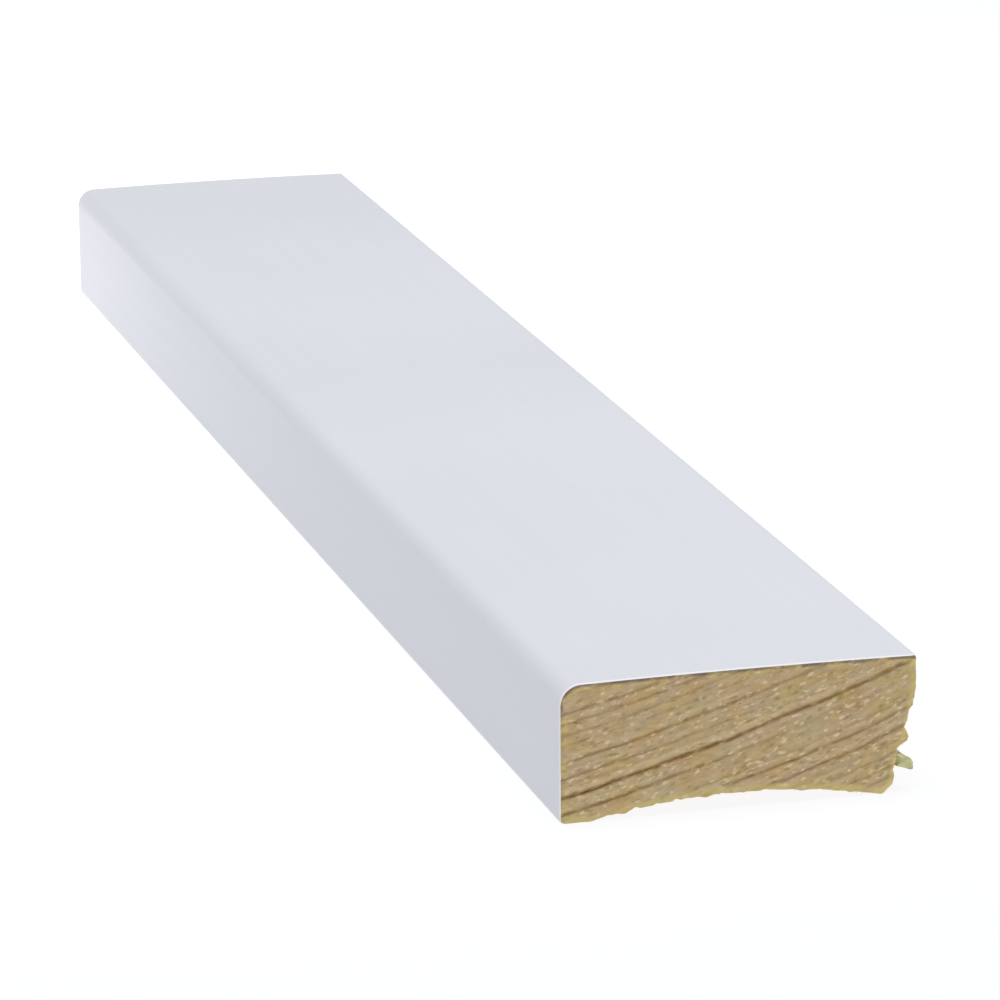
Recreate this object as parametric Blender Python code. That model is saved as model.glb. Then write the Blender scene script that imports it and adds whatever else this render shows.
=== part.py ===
# Skirting board offcut: solid pine, moulded to one section and sawn square at both ends.
# It lies on its back. X runs across the board from the painted edge to the raw floor edge,
# Y along it from the near sawn end to the far one, and Z up from its back to its face.
# The origin is at the middle of its footprint. Metres.

import math

import bmesh
import bpy
import numpy as np

MM = 0.001

# The board
LENGTH = 270 * MM
WIDTH = 42 * MM  # painted edge to floor edge
EDGE_THICKNESS = 16.2 * MM  # at the two long edges of the face
FACE_CROWN = 0.2 * MM  # the face stands this much higher along its middle
FACE_STEPS = 12

# The painted edge
ARRIS_RADIUS = 2.5 * MM  # between the face and the painted edge
ARRIS_STEPS = 10
EASED_CORNER = 0.4 * MM  # between the painted edge and the back

# The hollow back, a shallow trough between two lands
PAINTED_LAND = 3.2 * MM  # from the eased corner to the hollow
FLOOR_LAND = 0.6 * MM  # from the hollow to the chamfer
HOLLOW_DEPTH = 1.8 * MM
HOLLOW_STEPS = 24

# The raw floor edge: upright under the face, then rounding into a back-bevel
FACE_BREAK = 0.25 * MM  # takes the sharpness off the corner with the face
FLOOR_UPRIGHT = 3.0 * MM
FLOOR_BLEND_RADIUS = 20 * MM
FLOOR_BEVEL_ANGLE = math.radians(16)
FLOOR_CHAMFER = 1.1 * MM  # off the corner of bevel and back
BLEND_STEPS = 6

# What the saw tore out of the floor edge at the near end, from its foot upwards
TEAR_LENGTH = 12 * MM  # it fades out this far along the board
TEAR_STEPS = 6
TEAR_RAMP = 0.25 * MM  # height over which a torn step goes in or out
TEAR_FOOT = 1.9 * MM  # above the back
BED_HEIGHT = 1.7 * MM  # the bared wood below the splinter
BED_DEPTH = 0.25 * MM
SPLINTER_THICKNESS = 1.1 * MM
SPLINTER_REACH = 2.0 * MM
SPLINTER_DROOP = math.radians(22)
NOTCH_HEIGHT = 1.2 * MM
NOTCH_DEPTH = 0.6 * MM
NUB_HEIGHT = 1.3 * MM  # left whole between the notch and the chip
CHIP_HEIGHT = 2.5 * MM
CHIP_DEPTH = 0.4 * MM

WHITE_PAINT = (0.82, 0.83, 0.86, 1.0)
PAINT_ROUGHNESS = 0.45


def painted_corner():
    """The eased corner between the painted edge and the back, down and then inwards."""
    turn = np.linspace(math.pi, 1.5 * math.pi, 4)
    return EASED_CORNER * np.stack([1 + np.cos(turn), 1 + np.sin(turn)], 1)


def edge_x(height):
    """How far across the untorn floor edge is at a height: an upright, an arc that leaves it
    at a tangent, and a straight bevel that leaves the arc at a tangent."""
    upright_foot = EDGE_THICKNESS - FLOOR_UPRIGHT
    below = np.maximum(upright_foot - np.asarray(height, float), 0)
    bend = np.minimum(below, FLOOR_BLEND_RADIUS * math.sin(FLOOR_BEVEL_ANGLE))
    arc = FLOOR_BLEND_RADIUS - np.sqrt(FLOOR_BLEND_RADIUS**2 - bend**2)
    return WIDTH - arc - (below - bend) * math.tan(FLOOR_BEVEL_ANGLE)


def tear_marks():
    """Heights up the floor edge, and how far the torn edge stands in from the untorn one."""
    root = TEAR_FOOT + BED_HEIGHT
    notch = root + SPLINTER_THICKNESS
    nub = notch + NOTCH_HEIGHT
    chip = nub + NUB_HEIGHT
    chip_top = chip + CHIP_HEIGHT
    return np.array([
        (TEAR_FOOT, 0),
        (TEAR_FOOT + TEAR_RAMP, BED_DEPTH),
        (root, BED_DEPTH),
        (notch, NOTCH_DEPTH),
        (nub - TEAR_RAMP, NOTCH_DEPTH),
        (nub, 0),
        (chip, 0),
        (chip + TEAR_RAMP, CHIP_DEPTH),
        (chip_top - TEAR_RAMP, CHIP_DEPTH),
        (chip_top, 0),
    ])


def splinter(roots, torn):
    """The two tip corners of the splinter, which at no tear lie on the edge between its roots."""
    low, high = roots
    along = np.array([math.cos(SPLINTER_DROOP), -math.sin(SPLINTER_DROOP)])
    across = np.array([along[1], -along[0]])
    tip = high + SPLINTER_REACH * along
    out = np.stack([tip + SPLINTER_THICKNESS * across, tip])
    flat = np.stack([low + (high - low) / 3, high - (high - low) / 3])
    return flat + torn * (out - flat)


def floor_edge(torn):
    """The floor edge from the back up to the face, torn by a share from 0 to 1."""
    marks = tear_marks()
    upright_foot = EDGE_THICKNESS - FLOOR_UPRIGHT
    blend_foot = upright_foot - FLOOR_BLEND_RADIUS * math.sin(FLOOR_BEVEL_ANGLE)
    blend = np.linspace(blend_foot, upright_foot, BLEND_STEPS + 1)
    near_mark = np.abs(blend[:, None] - marks[:, 0]).min(1) < TEAR_RAMP / 2
    heights = np.sort(np.concatenate([
        [FLOOR_CHAMFER, EDGE_THICKNESS - FACE_BREAK],
        marks[:, 0],
        blend[~near_mark],
    ]))
    inset = torn * np.interp(heights, marks[:, 0], marks[:, 1])
    edge = np.stack([edge_x(heights) - inset, heights], 1)
    high = np.searchsorted(heights, TEAR_FOOT + BED_HEIGHT) + 1
    tips = splinter(edge[high - 1:high + 1], torn)
    foot = (edge_x(FLOOR_CHAMFER) - FLOOR_CHAMFER, 0)
    shoulder = (WIDTH - FACE_BREAK, EDGE_THICKNESS)
    return np.concatenate([[foot], edge[:high], tips, edge[high:], [shoulder]])


def hollow(floor_side):
    """The trough in the back, an arc of a circle from the painted land to the floor land."""
    half = (floor_side - FLOOR_LAND - EASED_CORNER - PAINTED_LAND) / 2
    radius = (half**2 + HOLLOW_DEPTH**2) / (2 * HOLLOW_DEPTH)
    across = np.linspace(-half, half, HOLLOW_STEPS + 1)
    rise = np.sqrt(radius**2 - across**2) - math.sqrt(radius**2 - half**2)
    return np.stack([EASED_CORNER + PAINTED_LAND + half + across, rise], 1)


def face_height(across):
    """The crowned face, a flat parabola across the width."""
    return EDGE_THICKNESS + FACE_CROWN * (1 - (2 * across / WIDTH - 1)**2)


def face():
    """The face from the floor edge back to the painted edge, with its rounded arris."""
    across = np.linspace(WIDTH - FACE_BREAK, ARRIS_RADIUS, FACE_STEPS + 1)[1:]
    top = np.stack([across, face_height(across)], 1)
    turn = np.linspace(math.pi / 2, math.pi, ARRIS_STEPS + 1)[1:]
    centre = np.array([ARRIS_RADIUS, face_height(ARRIS_RADIUS) - ARRIS_RADIUS])
    arris = centre + ARRIS_RADIUS * np.stack([np.cos(turn), np.sin(turn)], 1)
    return np.concatenate([top, arris])


def section(torn):
    """The whole outline, anticlockwise as seen from the near end: back, floor edge, face."""
    edge = floor_edge(torn)
    return np.concatenate([painted_corner(), hollow(edge[0, 0]), edge, face()])


def stations():
    """Places along the board where its section is drawn, and how torn the edge is there.
    The tear stays deep at first and then runs out, as a parabola."""
    share = np.linspace(0, 1, TEAR_STEPS + 1)
    along = np.append(TEAR_LENGTH * share, LENGTH) - LENGTH / 2
    return along, np.append(1 - share**2, 0)


def pine_and_paint():
    material = bpy.data.materials.new("white_painted_pine")
    material.use_nodes = True
    shader = material.node_tree.nodes["Principled BSDF"]
    shader.inputs["Base Color"].default_value = WHITE_PAINT
    shader.inputs["Roughness"].default_value = PAINT_ROUGHNESS
    shader.inputs["Metallic"].default_value = 0.0
    return material


def skirting_board():
    """The board, lofted through its sections and closed by the two sawn ends."""
    bm = bmesh.new()
    rings = []
    for along, torn in zip(*stations()):
        outline = section(torn)
        rings.append([bm.verts.new((x - WIDTH / 2, along, z)) for x, z in outline])
    for ring, following in zip(rings, rings[1:]):
        for i in range(len(ring)):
            bm.faces.new((ring[i - 1], ring[i], following[i], following[i - 1]))
    bm.faces.new(rings[0])
    bm.faces.new(reversed(rings[-1]))
    bmesh.ops.recalc_face_normals(bm, faces=bm.faces)
    mesh = bpy.data.meshes.new("skirting_board")
    bm.to_mesh(mesh)
    bm.free()
    mesh.materials.append(pine_and_paint())
    mesh.shade_smooth()
    mesh.set_sharp_from_angle(angle=math.radians(20))
    board = bpy.data.objects.new("skirting_board", mesh)
    bpy.context.collection.objects.link(board)


def main():
    for thing in list(bpy.data.objects):
        bpy.data.objects.remove(thing, do_unlink=True)
    skirting_board()


main()
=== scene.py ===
"""Finishes for a short length of white-painted pine skirting board, and its studio."""

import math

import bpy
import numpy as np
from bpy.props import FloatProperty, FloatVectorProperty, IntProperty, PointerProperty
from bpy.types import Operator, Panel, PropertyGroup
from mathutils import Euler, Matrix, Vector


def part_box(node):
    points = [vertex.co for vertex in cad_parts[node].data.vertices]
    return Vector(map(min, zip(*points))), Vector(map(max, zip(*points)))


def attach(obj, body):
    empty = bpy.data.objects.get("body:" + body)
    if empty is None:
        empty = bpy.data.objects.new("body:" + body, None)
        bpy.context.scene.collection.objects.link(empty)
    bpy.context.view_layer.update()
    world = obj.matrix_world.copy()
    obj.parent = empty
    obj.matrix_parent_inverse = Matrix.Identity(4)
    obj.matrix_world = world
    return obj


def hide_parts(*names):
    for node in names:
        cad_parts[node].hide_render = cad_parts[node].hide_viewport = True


bl_info = {
    "name": "Skirting Board Finish",
    "version": (1, 0, 0),
    "blender": (4, 5, 0),
    "location": "3D View > Sidebar > Skirting Board",
    "description": "Paint, sawn ends, planed wood and torn fibres for a skirting board",
    "category": "Object",
}

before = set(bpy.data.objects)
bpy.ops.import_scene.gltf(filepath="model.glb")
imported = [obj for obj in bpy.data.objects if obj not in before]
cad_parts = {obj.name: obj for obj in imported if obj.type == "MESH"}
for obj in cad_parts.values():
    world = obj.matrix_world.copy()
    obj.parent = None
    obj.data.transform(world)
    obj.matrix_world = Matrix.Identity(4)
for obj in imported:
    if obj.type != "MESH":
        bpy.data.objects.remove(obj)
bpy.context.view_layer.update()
LOW, HIGH = (np.array(corner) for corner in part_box("skirting_board"))
WIDTH, LENGTH, THICKNESS = HIGH - LOW
MM = 0.001

# The middle of the floor's extra glow, and how far from it the glow falls to about a third
FAR_GLOW_PLACE = (-0.05, 0.16, 0)
FAR_GLOW_FALL = 0.083

# The flat map that the skin carries, in shares of its width. The sides are unrolled on its
# lower part, and each sawn end stands on a shelf of its own above them.
MAP_MARGIN = 0.002
SIDES_HEIGHT = 0.565
END_SHELVES = (0.574, 0.788)
END_SCALE = 12.6  # map widths to a metre

# The pith at the near end, across from the painted edge and above the back, and the boldest
# growth ring's radius round it, in millimetres
PITH = (-67.4, 294.1)
BOLD_RADIUS = 298.76

# Growth rings, each as its distance in millimetres outwards from the boldest one, how dark its
# latewood is, half the width of its line in millimetres, and the share of its darkness that is
# left at the floor edge
RINGS = (
    (-12.4, 0.24, 0.28, 1.0), (-11.2, 0.26, 0.28, 1.0), (-9.3, 0.44, 0.32, 1.0),
    (-8.15, 0.40, 0.30, 1.0), (-6.85, 0.30, 0.28, 1.0), (-5.75, 0.20, 0.25, 1.0),
    (-3.72, 0.62, 0.34, 0.70), (-2.9, 0.14, 0.25, 0.6), (-1.94, 0.54, 0.32, 0.0),
    (-1.1, 0.14, 0.25, 0.8), (0.14, 1.00, 0.46, 0.78), (1.1, 0.12, 0.25, 0.5),
    (1.98, 0.78, 0.36, 0.08), (4.35, 0.22, 0.28, 1.0), (5.42, 0.62, 0.34, 0.95),
    (7.25, 0.66, 0.36, 0.95), (8.6, 0.14, 0.28, 1.0), (9.7, 0.24, 0.30, 1.0),
    (11.0, 0.38, 0.32, 1.0), (12.3, 0.40, 0.32, 1.0), (13.9, 0.34, 0.32, 1.0),
)
FADE_SWEEP = (67.0, 110.0)  # where round the pith the fading starts and ends, in millimetres
NO_RING = (99.0, 0.0, 1.0, 1.0)

# Material slots of the board's skin
PAINTED, SAWN, PLANED = range(3)

# The torn floor edge at the near end: height above the back, and how far the wood is torn in,
# in millimetres. A negative depth stands proud.
TORN_EDGE = (
    (1.2, 0.0), (1.9, 0.14), (2.3, 0.28), (2.8, 0.46), (4.6, 0.52), (4.85, 0.58), (5.15, 0.76),
    (5.45, 0.60), (5.65, 0.40), (5.82, 0.14), (5.98, -0.14), (6.2, -0.22), (6.6, -0.20),
    (7.0, 0.02), (7.25, 0.25), (7.6, 0.46), (8.0, 0.54), (8.5, 0.48), (9.1, 0.48), (9.5, 0.46),
    (9.85, 0.34), (10.2, 0.20), (10.5, 0.12), (11.4, 0.09), (12.6, 0.0),
)

# Nicks in the back's border at the near end: distance from the painted edge, depth and half
# width, in millimetres. A negative depth is fuzz that hangs below the border.
NICKS = (
    (3.3, -0.06, 0.5), (5.6, 0.12, 0.6), (7.4, -0.24, 0.9), (8.9, 0.22, 0.6), (11.3, 0.10, 0.5),
    (13.6, 0.20, 0.6), (17.1, -0.20, 1.0), (19.0, 0.08, 0.4), (21.6, -0.10, 0.3),
    (24.1, 0.14, 0.6), (28.4, -0.16, 0.9), (30.6, 0.08, 0.5), (34.2, -0.10, 0.5),
)


def length(name, description, size, least, **more):
    """A property that holds a length. Its size and its least size are in millimetres."""
    return FloatProperty(name=name, description=description, default=size * MM,
                         min=least * MM, unit="LENGTH", precision=5, **more)


def colour(name, description, shade):
    """A property that holds a colour, as linear red, green and blue."""
    return FloatVectorProperty(name=name, description=description, default=shade,
                               subtype="COLOR", size=3, min=0.0, max=1.0)


class BoardSizes(PropertyGroup):
    """Sizes of the moulding's section and of its surface."""

    arris_radius: length(
        "Arris radius", "Rounding between the face and the painted edge", 2.5, 0.5)
    eased_corner: length(
        "Eased corner", "Rounding between the painted edge and the back", 0.4, 0.1)
    painted_land: length(
        "Painted land", "Flat of the back beside the painted edge", 3.2, 1)
    floor_land: length(
        "Floor land", "Flat of the back beside the floor edge", 0.6, 0.2)
    hollow_depth: length(
        "Hollow depth", "Depth of the trough in the back", 1.8, 0.2)
    face_crown: length(
        "Face crown", "How far the face stands up along its middle", 0.2, 0)
    face_break: length(
        "Face break", "Rounding of the face's sharp corner", 0.25, 0.1)
    upright: length(
        "Floor edge upright", "Straight part of the floor edge under the face", 3.0, 1)
    blend_radius: length(
        "Blend radius", "Rounding between the upright and the bevel", 20, 5)
    bevel_angle: FloatProperty(
        name="Bevel angle", description="Lean of the floor edge towards the back",
        default=math.radians(16), min=0.0, max=math.radians(40), unit="ROTATION")
    chamfer: length(
        "Chamfer", "Cut off the corner between the bevel and the back", 1.1, 0.2)
    tear_length: length(
        "Tear length", "How far the tear runs back from the near end", 12, 2)
    paint_film: length(
        "Paint film", "Thickness of the paint where the saw cut through it", 0.10, 0.05)
    paint_lip: length(
        "Paint lip", "How far back from each end the paint's cut edge slopes", 0.4, 0,
        max=0.5 * MM)
    across_steps: IntProperty(
        name="Steps across", description="Divisions of the section across the board",
        default=204, min=20, max=300)
    up_steps: IntProperty(
        name="Steps up", description="Divisions of the section through its thickness",
        default=82, min=10, max=120)


class BoardColours(PropertyGroup):
    """Colours of the paint and of the pine."""

    paint: colour("Paint", "White satin paint", (0.803, 0.82, 0.877))
    # A painted highlight: the whiter colour given to the paint's cut edge at the sawn ends.
    cut_edge_highlight: colour(
        "Cut edge highlight", "The brighter cut of the paint at the sawn ends", (0.97, 0.97, 0.98))
    springwood: colour("Springwood", "The body of the pine", (0.598, 0.440, 0.236))
    latewood: colour("Latewood", "The dark line of each growth ring", (0.190, 0.080, 0.004))
    fleck: colour("Fleck", "Pale tufts that the saw raised", (0.88, 0.71, 0.455))
    rim: colour("Raw rim", "Yellowish wood along the raw borders", (0.80, 0.655, 0.24))
    torn: colour("Torn wood", "Bleached fibres in the tear", (0.752, 0.73, 0.367))
    under_paint: colour(
        "Under the paint", "Dark broken line between paint and wood", (0.14, 0.095, 0.11))


class StudioSetup(PropertyGroup):
    """The floor, the light and the camera."""

    floor_radius: FloatProperty(
        name="Floor radius", description="Radius of the pale floor",
        default=4.0, min=1.0, unit="LENGTH")
    camera_place: FloatVectorProperty(
        name="Camera place", description="Where the camera stands", subtype="XYZ", size=3,
        default=(-0.18966, -0.7259, 0.20697), unit="LENGTH")
    camera_target: FloatVectorProperty(
        name="Camera target", description="The point at the middle of the picture",
        subtype="XYZ", size=3, default=(0.00141, -0.02883, 0.00789), unit="LENGTH")
    camera_roll: FloatProperty(
        name="Camera roll", description="Turn of the camera about its view, clockwise",
        default=math.radians(0.425), unit="ROTATION")
    lens: FloatProperty(
        name="Lens", description="Focal length on a 36 mm sensor",
        default=208.3, min=10.0, unit="CAMERA")
    top_light: FloatProperty(
        name="Top light", description="Power of the softbox over the board",
        default=9.5, min=0.0, unit="POWER")
    sky: FloatProperty(
        name="Room light", description="Strength of the even light all round",
        default=0.357, min=0.0)
    floor_glow: FloatProperty(
        name="Floor glow", description="Light that the floor gives by itself",
        default=0.868, min=0.0)
    far_glow: FloatProperty(
        name="Far glow", description="How much more it gives beside the far end of the paint",
        default=0.925, min=0.0)


# Shapes in the section. A point is (distance from the painted edge, height above the back).


def arc(centre, radius, start, end, count=33):
    """Points on a circle: the centre plus the radius times the cosine and sine of each angle,
    with the angles in degrees."""
    turn = np.radians(np.linspace(start, end, count))
    return np.stack([centre[0] + radius * np.cos(turn), centre[1] + radius * np.sin(turn)], 1)


def edge_across(sizes, height):
    """The untorn floor edge: an upright, then an arc that leaves it at a tangent, then a bevel
    that leaves the arc at a tangent."""
    edge_thickness = THICKNESS - sizes.face_crown
    below = np.maximum(edge_thickness - sizes.upright - height, 0)
    bend = np.minimum(below, sizes.blend_radius * math.sin(sizes.bevel_angle))
    curved = sizes.blend_radius - np.sqrt(sizes.blend_radius**2 - bend**2)
    return WIDTH - curved - (below - bend) * math.tan(sizes.bevel_angle)


def hollow_of(sizes):
    """Where the hollow in the back starts and ends, and its height across the board: an arc of a
    circle through both ends, with its depth at the middle."""
    start = sizes.eased_corner + sizes.painted_land
    end = edge_across(sizes, sizes.chamfer) - sizes.chamfer - sizes.floor_land
    half, middle, depth = (end - start) / 2, (end + start) / 2, sizes.hollow_depth
    radius = (half**2 + depth**2) / (2 * depth)

    def height(across):
        return np.sqrt(radius**2 - (across - middle)**2) - (radius - depth)

    return start, end, height


def chains(sizes):
    """The section's outline as four chains of points that meet at its rounded corners: the back
    and the face, from the painted side to the floor side, and the painted edge and the floor
    edge, from the back up to the face."""
    ease, arris, soft = sizes.eased_corner, sizes.arris_radius, sizes.face_break
    edge_thickness = THICKNESS - sizes.face_crown
    foot = edge_across(sizes, sizes.chamfer) - sizes.chamfer

    def face_height(across):
        return edge_thickness + sizes.face_crown * (1 - (2 * across / WIDTH - 1)**2)

    start, end, height = hollow_of(sizes)
    across = np.linspace(start, end, 121)
    hollow = np.stack([across, height(across)], 1)
    half_chamfer = (foot + sizes.chamfer / 2, sizes.chamfer / 2)
    back = np.concatenate([
        arc((ease, ease), ease, 225, 270), hollow, [(foot, 0), half_chamfer]])
    heights = np.linspace(sizes.chamfer, edge_thickness - soft, 161)
    floor_edge = np.concatenate([
        [half_chamfer],
        np.stack([edge_across(sizes, heights), heights], 1),
        arc((WIDTH - soft, edge_thickness - soft), soft, 0, 45)])
    across = np.linspace(arris, WIDTH - soft, 161)
    top = face_height(arris)
    face = np.concatenate([
        arc((arris, top - arris), arris, 135, 90),
        np.stack([across, face_height(across)], 1),
        arc((WIDTH - soft, edge_thickness - soft), soft, 90, 45)])
    painted_edge = np.concatenate([
        arc((ease, ease), ease, 225, 180), arc((arris, top - arris), arris, 180, 135)])
    return back, floor_edge, face, painted_edge


def even(points, count):
    """The same line with count equal steps, measured along it."""
    steps = np.linalg.norm(np.diff(points, axis=0), axis=1)
    points = points[np.append(True, steps > 1e-9)]
    along = np.append(0, np.cumsum(steps[steps > 1e-9]))
    stops = np.linspace(0, along[-1], count + 1)
    return np.stack([np.interp(stops, along, points[:, k]) for k in (0, 1)], 1)


def outline(sizes):
    """The closed outline, anticlockwise as seen from the near end: the back, the floor edge, the
    face and the painted edge, each in equal steps. The raw wood's corners are worn a little: each
    point there moves twice to the mean of itself and the middle of its neighbours."""
    back, floor_edge, face, painted_edge = chains(sizes)
    points = np.concatenate([
        even(back, sizes.across_steps)[:-1],
        even(floor_edge, sizes.up_steps)[:-1],
        even(face, sizes.across_steps)[:0:-1],
        even(painted_edge, sizes.up_steps)[:0:-1]])
    for _ in range(2):
        worn = points / 2 + (np.roll(points, 1, 0) + np.roll(points, -1, 0)) / 4
        points = np.where(is_painted(sizes, points)[:, None], points, worn)
    return points


def inward(points):
    """Unit normals that point into the section: each point's run from the one before it to the
    one after it, turned a quarter to the left."""
    run = np.roll(points, -1, 0) - np.roll(points, 1, 0)
    run /= np.linalg.norm(run, axis=1)[:, None]
    return np.stack([-run[:, 1], run[:, 0]], 1)


def is_painted(sizes, points):
    """True where the outline is under paint: the painted edge, the face and the corners beside
    them."""
    face_foot = THICKNESS - sizes.face_crown - sizes.face_break
    beside_edge = (points[:, 0] < sizes.arris_radius) & (points[:, 1] > THICKNESS / 2)
    return (points[:, 0] < sizes.eased_corner) | (points[:, 1] > face_foot) | beside_edge


# Random surfaces. Each is seeded, so it comes out the same every time.


def smooth(share):
    """A step from 0 to 1 that starts and ends level: three times the square less twice the
    cube."""
    share = np.clip(share, 0, 1)
    return share * share * (3 - 2 * share)


def rough(u, v, seed):
    """Random heights from -1 to 1: a number for each whole u and v, smoothly blended between
    the four around a point. It repeats after 256 steps."""
    lattice = np.random.default_rng(seed).uniform(-1, 1, (256, 256))
    i, j = np.floor(u).astype(int), np.floor(v).astype(int)
    s, t = smooth(u - i), smooth(v - j)
    i, j, after_i, after_j = i % 256, j % 256, (i + 1) % 256, (j + 1) % 256
    low = lattice[i, j] * (1 - s) + lattice[after_i, j] * s
    high = lattice[i, after_j] * (1 - s) + lattice[after_i, after_j] * s
    return low * (1 - t) + high * t


def flecks(u, v, seed, share):
    """Scattered marks from -1 to 1: each whole step of u and v holds one with a chance of share,
    at a random place in the step, of a random size and of either sign, as a round hump."""
    rng = np.random.default_rng(seed)
    place = rng.uniform(0.1, 0.9, (2, 256, 256))
    size = rng.uniform(0.30, 0.62, (256, 256))
    power = np.where(rng.random((256, 256)) < share, rng.uniform(0.45, 1, (256, 256)), 0)
    power *= rng.choice([-1, 1], (256, 256))
    total = np.zeros_like(u)
    for i_step in (-1, 0, 1):
        for j_step in (-1, 0, 1):
            i, j = np.floor(u).astype(int) + i_step, np.floor(v).astype(int) + j_step
            cell = i % 256, j % 256
            away = ((u - i - place[0][cell])**2 + (v - j - place[1][cell])**2) / size[cell]**2
            total += power[cell] * smooth(1 - away)
    return np.clip(total, -1, 1)


# The pine's growth, as coordinates that its patterns are drawn in


def grain(points):
    """Where a point lies in the tree, in millimetres: round the pith, along the trunk, and
    outwards from the boldest ring. The outward one is the distance from the pith's line, less
    the bold ring's radius. The line leans a little against the board, and slow waves bend the
    rings."""
    x, along, z = (points - [LOW[0], LOW[1], 0]).T / MM
    from_x = x - PITH[0] - 0.012 * along
    from_z = z - PITH[1] + 0.006 * along
    outwards = np.hypot(from_x, from_z) - BOLD_RADIUS
    sweep = np.arctan2(from_x, -from_z) * BOLD_RADIUS
    bend = 0.13 * rough(sweep / 6.0, outwards / 3.1, 3)
    bend += 0.05 * rough(sweep / 1.5, outwards / 1.4, 4)
    slow = 0.30 * np.sin(along / 31 + sweep / 19) + 0.22 * np.sin(along / 13.5 + outwards / 4)
    slow -= 0.30 * np.sin(sweep / 19) + 0.22 * np.sin(outwards / 4)
    return np.stack([sweep, along, outwards + bend + slow], 1)


def latewood(grown):
    """How dark the growth rings are at a place in the tree: the sum of one smooth hump each,
    fading round the pith."""
    start, end = FADE_SWEEP
    faded = smooth((grown[:, 0] - start) / (end - start))
    total = np.zeros(len(grown))
    for place, power, half, left in RINGS:
        hump = smooth(1 - np.abs(grown[:, 2] - place) / half)
        total += power * (1 - (1 - left) * faded) * hump
    return np.clip(total, 0, 1)


# The board's skin


def stations(sizes):
    """Distances along the board at which its outline is drawn: closer together in the tear, by
    the square of their share of it, and at the far end."""
    near_share, far_share, far_run = np.linspace(0.22, 1, 18), np.linspace(1, 0.55, 5), 2 * MM
    near = sizes.tear_length * np.append(0, near_share**2)
    far = LENGTH - far_run * np.append(far_share**2, 0)
    middle = np.linspace(near[-1], far[0], 44)
    return np.concatenate([near, middle[1:-1], far])


def ring(sizes, base, along):
    """The outline at one distance along the board, with its tear, its ragged cut border, which
    fades from each end as an exponential, and the ridges that the latewood leaves in planed
    wood. The two lands stay flat."""
    points = base.copy()
    raw = ~is_painted(sizes, base)
    x, z = base.T / MM
    torn = max(1 - (along / sizes.tear_length)**2, 0)
    on_edge = raw & (x > WIDTH / MM / 2) & (z > TORN_EDGE[0][0])
    depth = np.interp(z, *np.array(TORN_EDGE).T)
    strands = 0.07 * rough(z * 2.6, np.full_like(z, along / MM / 5), 11)
    strands += 0.04 * rough(z * 7.0, np.full_like(z, along / MM / 2.2), 12)
    torn_in = torn * (depth + strands * (np.abs(depth) > 0.1))
    points[:, 0] -= np.where(on_edge, torn_in, 0) * MM
    grown = grain(np.stack([LOW[0] + base[:, 0], np.full(len(base), LOW[1] + along), z * MM], 1))
    sink = 0.035 * (1 - latewood(grown)) + 0.012 * rough(grown[:, 0] * 2, grown[:, 1] / 30, 5)
    near_run, far_run, floor_side, flat = 0.7 * MM, 0.5 * MM, 3.0, 0.02
    near_cut = math.exp(-along / near_run)
    far_cut = math.exp(-(LENGTH - along) / far_run)
    under = raw & (x < WIDTH / MM - floor_side)
    for place, nick, half in NICKS:
        sink += near_cut * under * nick * smooth(1 - np.abs(x - place) / half)
    sink += near_cut * (0.02 + 0.05 * rough(x * 1.3 + z, z * 1.7, 21))
    sink += far_cut * (0.03 + 0.06 * rough(x * 1.6 + z, z * 2.0, 22))
    lands = (z < flat) & raw
    sink = np.where(lands, np.maximum(sink * 0.5 * (near_cut + far_cut), 0), sink)
    points += inward(base) * np.where(raw, sink, 0)[:, None] * MM
    points[:, 1] = np.maximum(points[:, 1], 0)
    points[:, 0] = np.minimum(points[:, 0], WIDTH)
    return points


def four_sides(sizes, rim):
    """A closed outline's back, floor edge, face and painted edge, each with both its corners.
    The back and the face run from the painted side, and the two edges from the back."""
    across, corner = sizes.across_steps, sizes.across_steps + sizes.up_steps
    around = np.concatenate([rim, rim[:1]])
    return (around[:across + 1], around[across:corner + 1],
            around[corner:corner + across + 1][::-1], around[corner + across:][::-1])


def patch(sizes, rim):
    """A grid over the section inside a closed outline. Each point is the blend of its two points
    on the back and the face, plus the blend of its two on the long edges, less the blend of the
    four corners."""
    back, floor_edge, face, painted_edge = four_sides(sizes, rim)
    u = np.linspace(0, 1, sizes.across_steps + 1)[:, None, None]
    v = np.linspace(0, 1, sizes.up_steps + 1)[None, :, None]
    return (
        (1 - v) * back[:, None] + v * face[:, None]
        + (1 - u) * painted_edge[None] + u * floor_edge[None]
        - (1 - u) * (1 - v) * back[0] - u * (1 - v) * back[-1]
        - (1 - u) * v * face[0] - u * v * face[-1])


def nearest(points, line):
    """Distance from each point to the closest point of a line, worked out in parts so that it
    needs little memory."""
    parts = 40
    return np.concatenate([
        np.sqrt(((part[:, None] - line[None])**2).sum(2)).min(1)
        for part in np.array_split(points, parts)])


def sawn_relief(grown, from_rim, seed):
    """How far a sawn end lies behind its plane, in millimetres: springwood sinks more than
    latewood, tufts stand up and pits go down, and the saw leaves faint scores."""
    sweep, _, rings = grown.T
    tuft = flecks(sweep + 0.3 * rings, rings / 0.53, seed, 0.40)
    fuzz = rough(sweep * 1.7, rings * 5.0, seed + 1)
    fuzz += 0.6 * rough(sweep * 4.5, rings * 9.0, seed + 2)
    score = rough(sweep * 0.25 + rings * 2.2, sweep * 0.05, seed + 3)
    depth = 0.10 - 0.04 * latewood(grown) - 0.055 * tuft + 0.022 * fuzz + 0.012 * score
    return tuft, np.clip(depth, 0, 0.3) * smooth(from_rim / 0.35)


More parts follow.
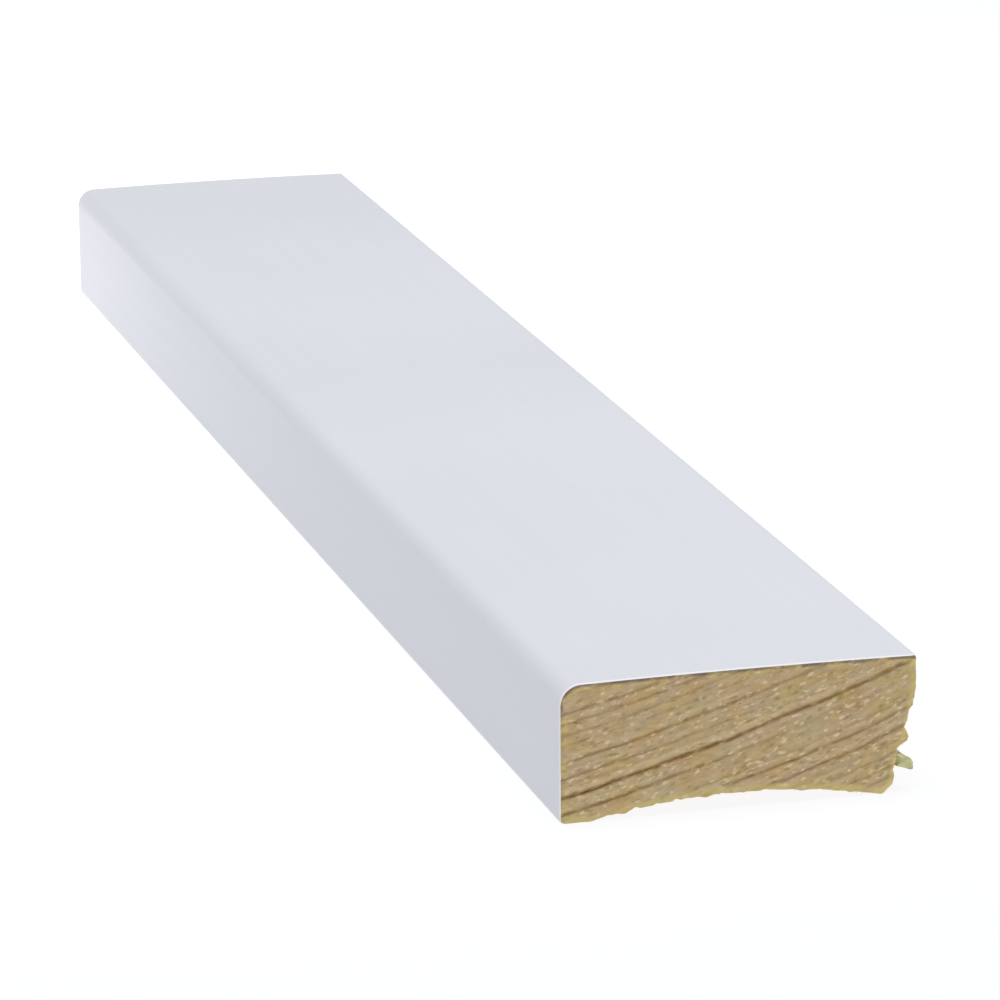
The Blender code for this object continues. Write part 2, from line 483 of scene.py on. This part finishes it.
def sawn_end(sizes, rim, painted, along, outside, seed):
    """One sawn end inside its rim: a ring at the paint film's thickness, a second a little
    further in, and a grid inside that. The way in is smoothed along the rim. Returns the new
    points, the faces, counted from the rim's first point as 0, which of them are paint film,
    and the tufts."""
    count, smoothings, further = len(rim), 6, 0.12 * MM
    into = inward(rim)
    for _ in range(smoothings):
        into = (np.roll(into, 1, 0) + into + np.roll(into, -1, 0)) / 3
    film = rim + into * sizes.paint_film
    second = rim + into * (sizes.paint_film + further)
    grid = patch(sizes, second)
    inner = grid[1:-1, 1:-1].reshape(-1, 2)
    numbers = np.empty(grid.shape[:2], int)
    numbers[1:-1, 1:-1] = 3 * count + np.arange(len(inner)).reshape(numbers[1:-1, 1:-1].shape)
    border = four_sides(sizes, 2 * count + np.arange(count))
    numbers[:, 0], numbers[-1], numbers[:, -1], numbers[0] = border
    here, after = np.arange(count), np.roll(np.arange(count), -1)
    strips = [np.stack([k * count + here, k * count + after,
                        (k + 1) * count + after, (k + 1) * count + here], 1) for k in (0, 1)]
    cells = np.stack([numbers[:-1, :-1], numbers[1:, :-1], numbers[1:, 1:], numbers[:-1, 1:]], 2)
    faces = np.concatenate(strips + [cells.reshape(-1, 4)])
    is_film = np.zeros(len(faces), bool)
    is_film[:count] = painted
    flat = np.concatenate([film, second, inner])
    points = np.stack([LOW[0] + flat[:, 0], np.full(len(flat), along), flat[:, 1]], 1)
    tuft, depth = sawn_relief(grain(points), nearest(flat, rim) / MM, seed)
    points[:, 1] -= outside * depth * MM
    return points, faces, is_film, tuft


def new_mesh(name, points, faces):
    """A mesh object at the origin, with smooth faces and sharp creases."""
    mesh = bpy.data.meshes.new(name)
    mesh.from_pydata(points.tolist(), [], faces)
    mesh.shade_smooth()
    mesh.set_sharp_from_angle(angle=math.radians(50))
    made = bpy.data.objects.new(name, mesh)
    bpy.context.collection.objects.link(made)
    return made


def write_attribute(mesh, name, values):
    """Stores one number or vector for each of the mesh's points."""
    kind, key = ("FLOAT", "value") if values.ndim == 1 else ("FLOAT_VECTOR", "vector")
    layer = mesh.attributes.new(name, kind, "POINT")
    layer.data.foreach_set(key, np.ascontiguousarray(values, np.float32).ravel())


def joined(count, size):
    """Faces that join each of count loops to the next, with size points to a loop."""
    here, after = np.arange(size), np.roll(np.arange(size), -1)
    steps = np.arange(count - 1)[:, None] * size
    corners = (here + steps, here + steps + size, after + steps + size, after + steps)
    return np.stack(corners, 2).reshape(-1, 4)


def flat_map(mesh, base, along, points, end_faces):
    """Gives each corner of each face its place on a flat map: the sides unrolled over the lower
    part, a place's share of the board's length by its way round the section, and the two sawn
    ends above them, one over the other, at a larger scale."""
    round_section = np.linalg.norm(np.roll(base, -1, 0) - base, axis=1)
    v = np.append(0, np.cumsum(round_section)) / round_section.sum() * SIDES_HEIGHT
    u = MAP_MARGIN + (1 - 2 * MAP_MARGIN) * along / LENGTH
    low_v, high_v = (np.broadcast_to(part, (len(u) - 1, len(base))) for part in (v[:-1], v[1:]))
    low_u, high_u = (np.broadcast_to(part[:, None], low_v.shape) for part in (u[:-1], u[1:]))
    sides = np.stack([low_u, low_v, high_u, low_v, high_u, high_v, low_u, high_v], 2)
    places = [sides.reshape(-1, 2) + [0, MAP_MARGIN]]
    for faces, shelf in zip(end_faces, END_SHELVES):
        where = (points[faces][:, :, [0, 2]] - [LOW[0], 0]).reshape(-1, 2)
        places.append(where * END_SCALE + [2 * MAP_MARGIN, shelf])
    layer = mesh.uv_layers.new(name="OFBake")
    layer.data.foreach_set("uv", np.concatenate(places).astype(np.float32).ravel())


def board_skin(sizes):
    """The whole skin as one closed mesh: outlines at each station, joined by strips of faces and
    closed by the two sawn ends. The paint's cut edge is a lip that slopes back from each end.
    Returns the mesh object."""
    base = outline(sizes)
    count = len(base)
    painted = is_painted(sizes, (base + np.roll(base, -1, 0)) / 2)
    along = stations(sizes)
    rings = np.stack([ring(sizes, base, y) for y in along])
    set_back = np.repeat(LOW[1] + along[:, None], count, 1)
    under_paint = is_painted(sizes, base)
    lip = np.where(under_paint, sizes.paint_lip, 0)
    set_back[0] += lip
    set_back[-1] -= lip
    sides = np.stack([LOW[0] + rings[:, :, 0], set_back, rings[:, :, 1]], 2).reshape(-1, 3)
    near = sawn_end(sizes, rings[0], painted, along=LOW[1], outside=-1, seed=31)
    far = sawn_end(sizes, rings[-1], painted, along=HIGH[1], outside=1, seed=47)
    last = (len(along) - 1) * count
    near_faces = np.where(near[1] < count, near[1], near[1] - count + len(sides))
    far_start = len(sides) + len(near[0])
    far_faces = np.where(far[1] < count, far[1] + last, far[1] - count + far_start)[:, ::-1]
    points = np.concatenate([sides, near[0], far[0]])
    faces = np.concatenate([joined(len(along), count), near_faces, far_faces])
    skin = new_mesh("skirting_board_skin", points, faces.tolist())
    side_slots = np.tile(np.where(painted, PAINTED, PLANED), len(along) - 1)
    end_slots = [np.where(is_film, PAINTED, SAWN) for is_film in (near[2], far[2])]
    slots = np.concatenate([side_slots, *end_slots])
    mesh = skin.data
    mesh.polygons.foreach_set("material_index", slots.astype(np.int32))
    flat_map(mesh, base, along, points, (near_faces, far_faces))
    write_attribute(mesh, "grain", grain(points))
    section = points[:, [0, 2]] - [LOW[0], 0]
    write_attribute(mesh, "from_paint", nearest(section, base[under_paint]) / MM)
    write_attribute(mesh, "from_raw", nearest(section, base[~under_paint]) / MM)
    write_attribute(mesh, "tuft", np.concatenate([np.zeros(len(sides)), near[3], far[3]]))
    return skin


# Shader helpers


def fill(tree, node, inputs):
    """Links or sets a node's inputs, given by name or number."""
    for key, value in dict(inputs).items():
        if isinstance(value, bpy.types.NodeSocket):
            tree.links.new(value, node.inputs[key])
        else:
            node.inputs[key].default_value = value


def add(tree, kind, inputs=(), output=0, **settings):
    """Adds a shader node, fills its inputs, and returns one of its outputs."""
    made = tree.nodes.new("ShaderNode" + kind)
    for name, value in settings.items():
        setattr(made, name, value)
    fill(tree, made, inputs)
    return made.outputs[output]


def maths(tree, operation, *values):
    """One step of arithmetic."""
    return add(tree, "Math", enumerate(values), operation=operation)


def times(tree, first, second):
    """Two numbers multiplied."""
    return maths(tree, "MULTIPLY", first, second)


def vector_maths(tree, operation, *values, output=0):
    """One step of arithmetic on vectors. Output 1 is a number."""
    return add(tree, "VectorMath", enumerate(values), output, operation=operation)


def remap(tree, value, low, high, to_low=0.0, to_high=1.0):
    """A value's range from low to high carried to another, with smooth ends."""
    return add(tree, "MapRange", {0: value, 1: low, 2: high, 3: to_low, 4: to_high},
               interpolation_type="SMOOTHSTEP")


def remap_vector(tree, value, low, high, to_low, to_high):
    """As remap, for each axis of a vector."""
    return add(tree, "MapRange", {6: value, 7: low, 8: high, 9: to_low, 10: to_high}, output=1,
               data_type="FLOAT_VECTOR", interpolation_type="SMOOTHSTEP")


def mixed(tree, share, first, second):
    """A share of the way from the first colour to the second."""
    return add(tree, "Mix", {0: share, 6: first, 7: second}, output=2, data_type="RGBA")


def toned(tree, tone, value=1.0, hue=0.5, saturation=1.0):
    """A colour with its value and saturation multiplied and its hue turned from 0.5."""
    return add(tree, "HueSaturation", {
        "Color": tone, "Value": value, "Hue": hue, "Saturation": saturation})


def axis(tree, vector, number):
    """One of a vector's three axes."""
    return add(tree, "SeparateXYZ", {0: vector}, output=number)


def noise(tree, vector, scale, detail=2.0, roughness=0.5):
    """Noise from 0 to 1, with a scale for each axis of the vector."""
    place = vector_maths(tree, "MULTIPLY", vector, scale)
    return add(tree, "TexNoise", {
        "Vector": place, "Scale": 1.0, "Detail": detail, "Roughness": roughness})


def attribute(tree, name, output=2):
    """A value that the mesh carries: output 1 is a vector and 2 a number."""
    return add(tree, "Attribute", output=output, attribute_name=name)


def solid(shade):
    """A colour as the four numbers that a socket takes."""
    return (*shade, 1.0)


def new_group(name, inputs, outputs):
    """An empty shader node group with named sockets, its input node's outputs and its output
    node's inputs."""
    group = bpy.data.node_groups.new(name, "ShaderNodeTree")
    for label, kind in inputs:
        group.interface.new_socket(label, in_out="INPUT", socket_type="NodeSocket" + kind)
    for label, kind in outputs:
        group.interface.new_socket(label, in_out="OUTPUT", socket_type="NodeSocket" + kind)
    entry = group.nodes.new("NodeGroupInput").outputs
    leaving = group.nodes.new("NodeGroupOutput").inputs
    return group, entry, leaving


def use_group(tree, group, inputs):
    """Places a group in a material and returns its outputs by name."""
    made = tree.nodes.new("ShaderNodeGroup")
    made.node_tree = group
    fill(tree, made, inputs)
    return made.outputs


def growth_group():
    """Pine's growth rings from its grain coordinates. Latewood is one smooth hump at each ring,
    three rings to a vector, and fades round the pith; the pale band is a wider, weaker hump just
    inside each ring. Rings of no power fill up the last vector."""
    name = "Pine growth rings"
    if name in bpy.data.node_groups:
        return bpy.data.node_groups[name]
    group, entry, leaving = new_group(
        name, [("Grain", "Vector")], [("Latewood", "Float"), ("Pale band", "Float")])
    shaken = noise(group, entry["Grain"], (0.8, 0.05, 1.2), 3.0)
    sweep = axis(group, entry["Grain"], 0)
    outwards = maths(group, "ADD", axis(group, entry["Grain"], 2),
                     remap(group, shaken, 0.2, 0.8, -0.06, 0.06))
    three = add(group, "CombineXYZ", {0: outwards, 1: outwards, 2: outwards})
    sweeps = add(group, "CombineXYZ", {0: sweep, 1: sweep, 2: sweep})
    start, end = ((edge,) * 3 for edge in FADE_SWEEP)
    shade = {"Latewood": (0.0, 1.0, 1.0), "Pale band": (-0.72, 0.9, 1.4)}
    padded = RINGS + (NO_RING,) * (-len(RINGS) % 3)
    for label, (shift, power, widening) in shade.items():
        total = None
        for first in range(0, len(padded), 3):
            places, powers, halves, left = zip(*padded[first:first + 3])
            away = vector_maths(group, "SUBTRACT", three, [p + shift for p in places])
            away = vector_maths(group, "ABSOLUTE", away)
            humps = remap_vector(group, away, (0, 0, 0), [widening * half for half in halves],
                                 [power * p for p in powers], (0, 0, 0))
            faded = remap_vector(group, sweeps, start, end, (1, 1, 1), left)
            part = vector_maths(group, "DOT_PRODUCT", humps, faded, output=1)
            total = part if total is None else maths(group, "ADD", total, part)
        broken = noise(group, entry["Grain"], (0.55, 0.03, 1.6))
        kept = remap(group, broken, 0.30, 0.55, 0.45, 1.0)
        group.links.new(times(group, total, kept), leaving[label])
    return group


def pine_group():
    """The colour of bare pine: springwood that drifts in tone, a paler band and a dark line at
    each ring, and fine cells. It also puts out its latewood and its cells, as numbers."""
    name = "Bare pine"
    if name in bpy.data.node_groups:
        return bpy.data.node_groups[name]
    group, entry, leaving = new_group(name, [
        ("Grain", "Vector"), ("Springwood", "Color"), ("Latewood", "Color"), ("Pale", "Color"),
        ("Ring contrast", "Float")], [
            ("Color", "Color"), ("Latewood", "Float"), ("Cells", "Float")])
    rings = use_group(group, growth_group(), {"Grain": entry["Grain"]})
    drift = noise(group, entry["Grain"], (0.17, 0.01, 0.36), 1.0)
    dull = noise(group, entry["Grain"], (0.22, 0.02, 0.5), 1.0)
    grainy = noise(group, entry["Grain"], (0.6, 0.04, 1.5))
    tone = toned(group, entry["Springwood"],
                 value=remap(group, grainy, 0.25, 0.75, 0.87, 1.12),
                 hue=remap(group, drift, 0.3, 0.7, 0.494, 0.509),
                 saturation=remap(group, dull, 0.3, 0.7, 0.90, 1.10))
    pale = times(group, rings["Pale band"], 0.36)
    tone = mixed(group, pale, tone, entry["Pale"])
    late = times(group, rings["Latewood"], entry["Ring contrast"])
    tone = mixed(group, late, tone, entry["Latewood"])
    cells = noise(group, entry["Grain"], (5.0, 0.25, 9.0), 3.0, 0.65)
    tone = toned(group, tone, remap(group, cells, 0.25, 0.75, 0.96, 1.035))
    group.links.new(tone, leaving["Color"])
    group.links.new(late, leaving["Latewood"])
    group.links.new(cells, leaving["Cells"])
    return group


def new_material(name):
    """A material with only its Principled BSDF and output, and its node tree."""
    material = bpy.data.materials.new(name)
    material.use_nodes = True
    tree = material.node_tree
    return material, tree, tree.nodes["Principled BSDF"]


def set_surface(tree, shader, tone, roughness, relief, strength, depth, specular=0.25):
    """Gives a material's shader its colour, its roughness and its relief as bump."""
    bump = add(tree, "Bump", {"Strength": strength, "Distance": depth, "Height": relief})
    fill(tree, shader, {"Base Color": tone, "Normal": bump, "Roughness": roughness,
                        "Specular IOR Level": specular})


def grown_pine(tree, springwood, latewood, pale, contrast):
    """The grain's coordinates that the mesh carries, and the outputs of bare pine in them."""
    grown = attribute(tree, "grain", 1)
    return grown, use_group(tree, pine_group(), {
        "Grain": grown, "Springwood": solid(springwood), "Latewood": solid(latewood),
        "Pale": solid(pale), "Ring contrast": contrast})


def paint_material(colours):
    """White satin paint: an even cool white with a trace of the spray's mottle and of the grain
    beneath, and a slight orange peel. Its cut edge at the sawn ends is whitened as a painted
    highlight."""
    material, tree, shader = new_material("white_satin_paint")
    place = add(tree, "TexCoord", output=3)
    cloud = noise(tree, place, (18.0, 18.0, 18.0), 3.0)
    along = noise(tree, place, (900.0, 9.0, 900.0))
    shade = maths(tree, "ADD", remap(tree, cloud, 0.3, 0.7, 0.988, 1.006),
                  remap(tree, along, 0.3, 0.7, -0.006, 0.004))
    tone = toned(tree, solid(colours.paint), shade)
    # A painted highlight: the paint's cut edge at each sawn end is whitened along the lip.
    cut = remap(tree, attribute(tree, "from_paint"), 0.0, 0.03)
    tone = mixed(tree, cut, tone, solid(colours.cut_edge_highlight))
    peel = noise(tree, place, (1400.0, 1400.0, 1400.0), 2.0, 0.4)
    relief = maths(tree, "ADD", times(tree, peel, 0.6), along)
    roughness = remap(tree, cloud, 0.3, 0.7, 0.52, 0.60)
    set_surface(tree, shader, tone, roughness, relief, strength=0.09, depth=0.0002)
    return material


def sawn_material(colours):
    """Sawn end grain: bare pine with pale tufts, dark dashes, and pits darkened partly as painted
    shade where the relief sinks, a yellowish raw rim, and a dark broken line where it meets the
    paint."""
    material, tree, shader = new_material("sawn_pine")
    grown, pine = grown_pine(tree, colours.springwood, colours.latewood, colours.fleck, 0.96)
    tuft = attribute(tree, "tuft")
    small = noise(tree, grown, (0.95, 0.3, 2.1))
    where = noise(tree, grown, (0.16, 0.1, 0.5))
    crowd = remap(tree, where, 0.38, 0.62, -0.05, 0.05)
    ragged = maths(tree, "MULTIPLY_ADD", small, 1.6, maths(tree, "ADD", tuft, -0.8))
    lights = maths(tree, "MAXIMUM", remap(tree, ragged, 0.22, 0.85, 0.0, 0.95),
                   remap(tree, maths(tree, "ADD", small, crowd), 0.58, 0.72, 0.0, 0.85))
    dashes = noise(tree, grown, (0.7, 0.3, 3.4), 1.5)
    # Dark dashes in the wood, and pits darkened where the relief sinks. The pits' darkness is
    # partly their own dark wood and partly painted shade in the hollows.
    dashes_and_pit_shade = maths(tree, "MAXIMUM", remap(tree, ragged, -0.22, -0.85, 0.0, 0.8),
                  remap(tree, maths(tree, "SUBTRACT", dashes, crowd), 0.385, 0.30, 0.0, 1.0))
    lights = times(tree, lights, remap(tree, pine["Latewood"], 0.15, 0.6, 0.80, 0.10))
    tone = mixed(tree, lights, pine["Color"], solid(colours.fleck))
    # The pits' colour is the wood darkened, partly as painted shade in the sunk pits.
    pit_shade = toned(tree, tone, value=0.45, hue=0.508, saturation=1.1)
    tone = mixed(tree, times(tree, dashes_and_pit_shade, 0.5), tone, pit_shade)
    from_paint = attribute(tree, "from_paint")
    mottle = noise(tree, grown, (0.5, 0.1, 1.1))
    stained = times(tree, remap(tree, from_paint, 1.3, 0.3, 0.0, 0.7),
                    remap(tree, mottle, 0.49, 0.60))
    rim = remap(tree, attribute(tree, "from_raw"), 1.05, 0.35, 0.0, 0.95)
    rim = times(tree, rim, remap(tree, where, 0.35, 0.6, 0.42, 1.0))
    place = add(tree, "TexCoord", output=3)
    rim = times(tree, rim, remap(tree, axis(tree, place, 0), 0.012, 0.018, 0.66, 1.0))
    tone = mixed(tree, maths(tree, "MAXIMUM", rim, stained), tone, solid(colours.rim))
    broken = remap(tree, noise(tree, grown, (0.45, 0.1, 0.6)), 0.36, 0.58, 0.3, 1.0)
    line = times(tree, remap(tree, from_paint, 0.64, 0.30), broken)
    upper = remap(tree, axis(tree, place, 2), 0.0115, 0.0145, 0.15, 0.75)
    line = times(tree, line, upper)
    tone = mixed(tree, line, tone, solid(colours.under_paint))
    fuzz = noise(tree, grown, (6.0, 1.0, 12.0), 3.0, 0.7)
    relief = maths(tree, "ADD", fuzz, pine["Cells"])
    roughness = remap(tree, tuft, -1.0, 1.0, 0.94, 0.82)
    set_surface(tree, shader, tone, roughness, relief, strength=0.2, depth=0.00012)
    return material


def planed_material(colours):
    """Planed bare pine along the board: its rings drawn out into long bands, fine fibres, short
    resin ducts, the planer's ripples, and a mist of paint that strayed over the borders."""
    material, tree, shader = new_material("planed_pine")
    grown, pine = grown_pine(tree, colours.springwood, colours.latewood, colours.fleck, 0.62)
    strands = noise(tree, grown, (9.0, 0.09, 13.0), 4.0, 0.7)
    tone = toned(tree, pine["Color"], remap(tree, strands, 0.32, 0.68, 0.86, 1.12))
    place = vector_maths(tree, "MULTIPLY", grown, (1.1, 0.13, 1.6))
    ducts = add(tree, "TexVoronoi", {"Vector": place, "Scale": 1.0, "Randomness": 1.0})
    duct = remap(tree, ducts, 0.13, 0.05, 0.0, 0.55)
    tone = mixed(tree, duct, tone, toned(tree, tone, value=0.5, saturation=1.2))
    stray = noise(tree, grown, (1.6, 0.25, 1.6), 4.0, 0.7)
    reach = maths(tree, "SUBTRACT", attribute(tree, "from_paint"), times(tree, stray, 1.6))
    mist = remap(tree, reach, -0.15, -0.75, 0.0, 0.9)
    tone = mixed(tree, mist, tone, solid(colours.paint))
    ripple = maths(tree, "SINE", times(tree, axis(tree, grown, 1), math.tau / 1.7))
    relief = maths(tree, "ADD", times(tree, ripple, 0.10), times(tree, strands, 0.8))
    roughness = remap(tree, pine["Latewood"], 0.0, 1.0, 0.72, 0.55)
    set_surface(tree, shader, tone, roughness, relief, strength=0.25, depth=0.0001, specular=0.3)
    return material


def torn_material(colours):
    """Torn fibres: bare pine, bleached and faintly green near the cut end, with strands along
    the grain."""
    material, tree, shader = new_material("torn_pine")
    grown, pine = grown_pine(tree, colours.torn, (0.42, 0.33, 0.13), (0.84, 0.79, 0.52), 0.5)
    strands = noise(tree, grown, (7.0, 0.35, 9.0), 4.0, 0.65)
    tone = toned(tree, pine["Color"], remap(tree, strands, 0.25, 0.75, 0.84, 1.12))
    plain = toned(tree, solid(colours.springwood), remap(tree, strands, 0.25, 0.75, 0.84, 1.16))
    tone = mixed(tree, remap(tree, axis(tree, grown, 1), 0.6, 4.5, 0.0, 0.85), tone, plain)
    roughness = remap(tree, strands, 0.2, 0.8, 0.75, 0.92)
    set_surface(tree, shader, tone, roughness, relief=strands, strength=0.6, depth=0.00015)
    return material


# The torn fibres


def splinter(sizes):
    """The torn tab on the floor edge. Across the board it is a rounded oblong, each of its
    coordinates a power of a cosine or sine, and its middle line droops as a parabola. Its reach
    and thickness shrink along the board as the square of what is left of the tear, and noise
    that is long in the grain splits its surface into strands."""
    turn = np.linspace(0, math.tau, 65)[:-1]
    out, up = (np.sign(f(turn)) * np.abs(f(turn))**0.5 for f in (np.cos, np.sin))
    root, stub, reach, thickness = 39.2 * MM, 0.5 * MM, 2.55 * MM, 1.52 * MM
    root_height, droop = 3.90 * MM, 0.13 / MM
    loops = []
    for share in np.linspace(0, 1, 61):
        size = (1 - share)**2 * (1 + 0.12 * rough(share * 9.0, 0.5, 70) * smooth(share * 4))
        strand = rough(np.cos(turn) * 4 + 9, np.sin(turn) * 4 + share * 1.5, 71)
        strand = strand + 0.5 * rough(np.cos(turn) * 9, np.sin(turn) * 9 + share * 5, 73)
        frayed = 1 + (0.025 + 0.05 * smooth(share * 5)) * strand
        x = (out + 1) / 2 * (stub + (reach - stub) * size) * frayed
        middle = root_height - droop * x**2
        z = middle + up / 2 * thickness * (0.15 + 0.85 * size) * frayed * (1 - 0.04 * out)
        cut = (0.05 + 0.10 * (1 + rough(turn * 2.2, turn * 0, 72))) * MM + stub * (x < stub)
        along = LOW[1] + share * sizes.tear_length + cut * (1 - smooth(share * 12))
        loops.append(np.stack([LOW[0] + root + x, np.broadcast_to(along, x.shape), z], 1))
    return lofted("torn_splinter", np.array(loops))


def fibre(start, run, droop, thickness):
    """One broken fibre: a round strand that tapers to a point as the square root of what is
    left of it, and bends down as the square of the way along it."""
    share = np.linspace(0, 1, 9)
    turn = np.linspace(0, math.tau, 9)[:-1]
    run = np.array(run)
    side = np.cross(run, (0, 1, 0.2))
    side /= np.linalg.norm(side)
    other = np.cross(run, side) / np.linalg.norm(run)
    centre = np.array(start) + share[:, None] * run - share[:, None]**2 * [0, 0, droop]
    width = thickness / 2 * np.sqrt(1.02 - share)
    circle = np.cos(turn)[:, None] * side + np.sin(turn)[:, None] * other
    return centre[:, None] + width[:, None, None] * circle


def fibres(sizes):
    """Loose fibres along the torn floor edge and under the near border, each rooted in the
    wood, at seeded random places, lengths and leans."""
    on_edge, under_border = 26, 18
    rng = np.random.default_rng(17)
    strands = []
    for height in rng.uniform(2.2, 9.6, on_edge) * MM:
        back = rng.uniform(0.2, 6.0) * MM
        start = (LOW[0] + edge_across(sizes, height) - 0.75 * MM, LOW[1] + back, height)
        run = (rng.uniform(0.45, 1.0) * MM, -back * rng.uniform(0.0, 0.5),
               rng.uniform(-0.3, 0.2) * MM)
        droop = rng.uniform(0.0, 0.2) * MM
        strands.append(fibre(start, run, droop, rng.uniform(0.07, 0.16) * MM))
    _, _, lowest = hollow_of(sizes)
    for across in rng.uniform(5, 36, under_border) * MM:
        start = (LOW[0] + across, LOW[1] + 0.55 * MM, lowest(across) + 0.12 * MM)
        run = (rng.uniform(-0.35, 0.35) * MM, -0.45 * MM, -rng.uniform(0.10, 0.30) * MM)
        strands.append(fibre(start, run, 0.03 * MM, rng.uniform(0.06, 0.12) * MM))
    return lofted("torn_fibres", *strands)


def lofted(name, *strands):
    """A mesh of closed strands, each through loops of equal count and with its ends closed by a
    fan from their middles. It carries the grain's coordinates."""
    points, faces, first = [], [], 0
    for loops in strands:
        count, size = loops.shape[:2]
        points += [loops.reshape(-1, 3), [loops[0].mean(0)], [loops[-1].mean(0)]]
        here, after = np.arange(size) + first, np.roll(np.arange(size), -1) + first
        hub, last = first + count * size, (count - 1) * size
        near_hub, far_hub = np.full(size, hub), np.full(size, hub + 1)
        faces += (first + joined(count, size)).tolist()
        faces += np.stack([here, after, near_hub], 1).tolist()
        faces += np.stack([after + last, here + last, far_hub], 1).tolist()
        first = hub + 2
    points = np.concatenate(points)
    made = new_mesh(name, points, faces)
    write_attribute(made.data, "grain", grain(points))
    return made


# Operators


class BOARD_OT_skin(Operator):
    """Replaces the plain solid by its painted, sawn and planed skin"""

    bl_idname = "board.skin"
    bl_label = "Board Skin"

    def execute(self, context):
        sizes, colours = context.scene.board_sizes, context.scene.board_colours
        skin = board_skin(sizes)
        for material in (paint_material, sawn_material, planed_material):
            skin.data.materials.append(material(colours))
        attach(skin, "root")
        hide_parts("skirting_board")
        return {"FINISHED"}


class BOARD_OT_fibres(Operator):
    """Adds the torn fibres on the floor edge at the near end"""

    bl_idname = "board.fibres"
    bl_label = "Torn Fibres"

    def execute(self, context):
        sizes, colours = context.scene.board_sizes, context.scene.board_colours
        material = torn_material(colours)
        for piece in (splinter(sizes), fibres(sizes)):
            piece.data.materials.append(material)
            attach(piece, "root")
        return {"FINISHED"}


def floor_disc(radius):
    """A flat disc: the radius times the cosine and sine of each angle."""
    sides = 96
    turn = np.linspace(0, math.tau, sides + 1)[:-1]
    points = np.stack([radius * np.cos(turn), radius * np.sin(turn), 0 * turn], 1)
    return new_mesh("floor", points, [list(range(sides))])


def floor_material(glow, far_glow):
    """A pale matt floor that gives a little light of its own, as a lit table does. Beside the
    painted edge's far end it gives more, which falls off as the exponential of the distance."""
    material, tree, shader = new_material("pale_floor")
    away = vector_maths(tree, "DISTANCE", add(tree, "TexCoord", output=3), FAR_GLOW_PLACE, output=1)
    share = maths(tree, "EXPONENT", times(tree, away, -1 / FAR_GLOW_FALL))
    white, warm = np.array((0.972, 0.98, 1)), np.array((0.99, 0.98, 0.93))
    light = mixed(tree, share, solid(white), solid(white + far_glow * warm))
    fill(tree, shader, {
        "Base Color": (0.15, 0.15, 0.155, 1), "Roughness": 0.9, "Specular IOR Level": 0.0,
        "Emission Color": light, "Emission Strength": glow})
    return material


def facing(place, target):
    """The turn of a light or a camera that looks from one point at another."""
    return (Vector(target) - Vector(place)).to_track_quat("-Z", "Y")


def top_softbox(power):
    """A square soft light over the board's near half that faces its middle."""
    place = (0.0, -0.09, 1.2)
    light = bpy.data.lights.new("top_softbox", "AREA")
    light.size = 0.8
    light.energy = power
    made = bpy.data.objects.new("top_softbox", light)
    made.location = place
    made.rotation_euler = facing(place, (0, 0, 0)).to_euler()
    made.visible_camera = False
    bpy.context.collection.objects.link(made)


def place_camera(studio):
    """The camera at the photograph's viewing angle, turned about its own view by its roll."""
    camera = bpy.data.cameras.new("camera")
    camera.lens = studio.lens
    camera.sensor_width = 36.0
    camera.clip_start, camera.clip_end = 0.01, 50.0
    made = bpy.data.objects.new("camera", camera)
    made.location = studio.camera_place
    roll = Euler((0, 0, -studio.camera_roll)).to_quaternion()
    view = facing(studio.camera_place, studio.camera_target)
    made.rotation_euler = (view @ roll).to_euler()
    bpy.context.collection.objects.link(made)
    bpy.context.scene.camera = made


class BOARD_OT_studio(Operator):
    """Sets up the pale floor, the soft light, the room and the camera"""

    bl_idname = "board.studio"
    bl_label = "Studio"

    def execute(self, context):
        studio = context.scene.board_studio
        floor = floor_disc(studio.floor_radius)
        floor.data.materials.append(floor_material(studio.floor_glow, studio.far_glow))
        top_softbox(studio.top_light)
        world = bpy.data.worlds.new("room")
        world.use_nodes = True
        tree = world.node_tree
        fill(tree, tree.nodes["Background"], {"Color": (0.97, 0.98, 1, 1), "Strength": studio.sky})
        context.scene.world = world
        context.scene.view_settings.view_transform = "Standard"
        place_camera(studio)
        return {"FINISHED"}


class BOARD_PT_panel(Panel):
    """Lists the steps that dress the skirting board, and their sizes and colours"""

    bl_idname = "BOARD_PT_panel"
    bl_label = "Skirting Board"
    bl_space_type = "VIEW_3D"
    bl_region_type = "UI"
    bl_category = "Skirting Board"

    def draw(self, context):
        for step in STEPS:
            self.layout.operator(step.bl_idname)
        for group in (context.scene.board_sizes, context.scene.board_colours,
                      context.scene.board_studio):
            column = self.layout.column(align=True)
            for name in type(group).__annotations__:
                column.prop(group, name)


STEPS = (BOARD_OT_studio, BOARD_OT_skin, BOARD_OT_fibres)
CLASSES = (BoardSizes, BoardColours, StudioSetup, *STEPS, BOARD_PT_panel)


def register():
    for cls in CLASSES:
        bpy.utils.register_class(cls)
    bpy.types.Scene.board_sizes = PointerProperty(type=BoardSizes)
    bpy.types.Scene.board_colours = PointerProperty(type=BoardColours)
    bpy.types.Scene.board_studio = PointerProperty(type=StudioSetup)


def unregister():
    del bpy.types.Scene.board_studio
    del bpy.types.Scene.board_colours
    del bpy.types.Scene.board_sizes
    for cls in reversed(CLASSES):
        bpy.utils.unregister_class(cls)


def main():
    register()
    bpy.ops.board.studio()
    bpy.ops.board.skin()
    bpy.ops.board.fibres()


if __name__ == "__main__":
    main()
